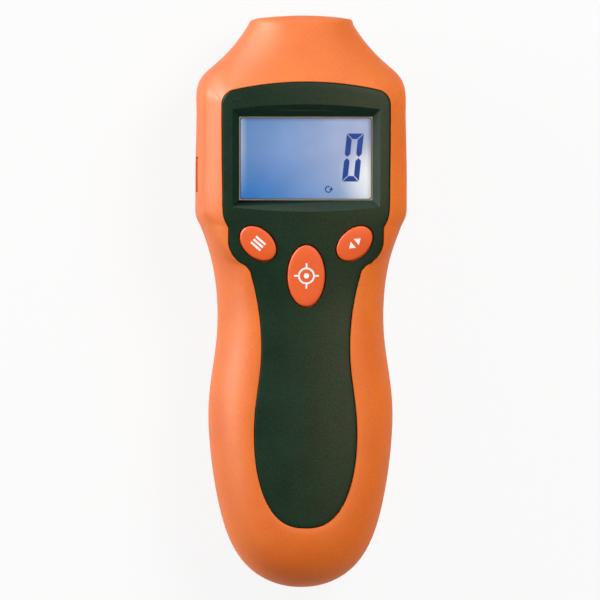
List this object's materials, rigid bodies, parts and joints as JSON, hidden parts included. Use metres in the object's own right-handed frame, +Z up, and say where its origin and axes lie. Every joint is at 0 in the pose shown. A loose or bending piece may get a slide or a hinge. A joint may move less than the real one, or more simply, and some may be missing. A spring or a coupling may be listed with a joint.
{
  "type": "handheld laser tachometer",
  "caption": "Handheld photo tachometer with a wide display head, tapered laser nose, waisted grip, green face panel, oval keys and a slide-off battery door.",
  "frame": {"origin": "centre of the bounding box in plan, at the flat back that the instrument rests on", "axes": "+Z up out of the display face, +Y along the body to the laser nose, +X to the right seen from the face"},
  "size_m": [0.0586, 0.1599, 0.042],
  "materials": {
    "orange_shell": "satin orange moulded plastic",
    "orange_key": "satin orange moulded key",
    "green_panel": "fine-grained dark green plastic",
    "clear_window": "clear moulded acrylic",
    "lcd": "blue-grey liquid crystal cell",
    "white_plastic": "white moulded plastic",
    "light_guide": "milky light guide",
    "zebra": "layered conductive rubber",
    "board": "green circuit board",
    "black_plastic": "black moulded plastic",
    "steel": "zinc plated steel",
    "brass": "turned brass",
    "red_lens": "red tinted acrylic",
    "can": "printed metal can",
    "red_wire": "insulated lead",
    "black_wire": "insulated lead",
    "foam": "closed-cell foam"
  },
  "bodies": {
    "housing": {"front_shell": "orange_shell", "back_shell": "orange_shell", "face_panel": "green_panel", "display_window": "clear_window", "mem_switch": "black_plastic", "mode_switch": "black_plastic", "measure_switch": "black_plastic", "lcd_glass": "lcd", "lcd_frame": "white_plastic", "zebra_strips": "zebra", "backlight": "light_guide", "main_board": "board", "board_screws": "steel", "microcontroller": "black_plastic", "driver_chip": "black_plastic", "crystal": "steel", "capacitor": "can", "nose_bezel": "black_plastic", "sensor_lens": "red_lens", "laser_window": "red_lens", "laser_barrel": "brass", "laser_diode": "steel", "laser_leads": "red_wire", "sensor_tube": "black_plastic", "photodiode": "black_plastic", "sensor_board": "board", "optics_bracket": "black_plastic", "battery_body": "can", "battery_terminals": "steel", "battery_snap": "black_plastic", "red_lead": "red_wire", "black_lead": "black_wire", "port_plug": "orange_shell", "case_screws": "steel"},
    "mem_key": {"mem_button": "orange_key", "mem_plunger": "black_plastic"},
    "mode_key": {"mode_button": "orange_key", "mode_plunger": "black_plastic"},
    "measure_key": {"measure_button": "orange_key", "measure_plunger": "black_plastic"},
    "door": {"battery_door": "orange_shell", "battery_pad": "foam"}
  },
  "joints": [
    {"name": "mem_press", "type": "slide", "parent": "housing", "child": "mem_key", "axis": [0, 0, -1], "range_m": [0, 0.0006], "stiffness_N_per_m": 1200, "springref_m": -0.0002},
    {"name": "mode_press", "type": "slide", "parent": "housing", "child": "mode_key", "axis": [0, 0, -1], "range_m": [0, 0.0006], "stiffness_N_per_m": 1200, "springref_m": -0.0002},
    {"name": "measure_press", "type": "slide", "parent": "housing", "child": "measure_key", "axis": [0, 0, -1], "range_m": [0, 0.0006], "stiffness_N_per_m": 1200, "springref_m": -0.0002},
    {"name": "door_slide", "type": "slide", "parent": "housing", "child": "door", "axis": [0, -1, 0], "range_m": [0, 0.066]}
  ]
}
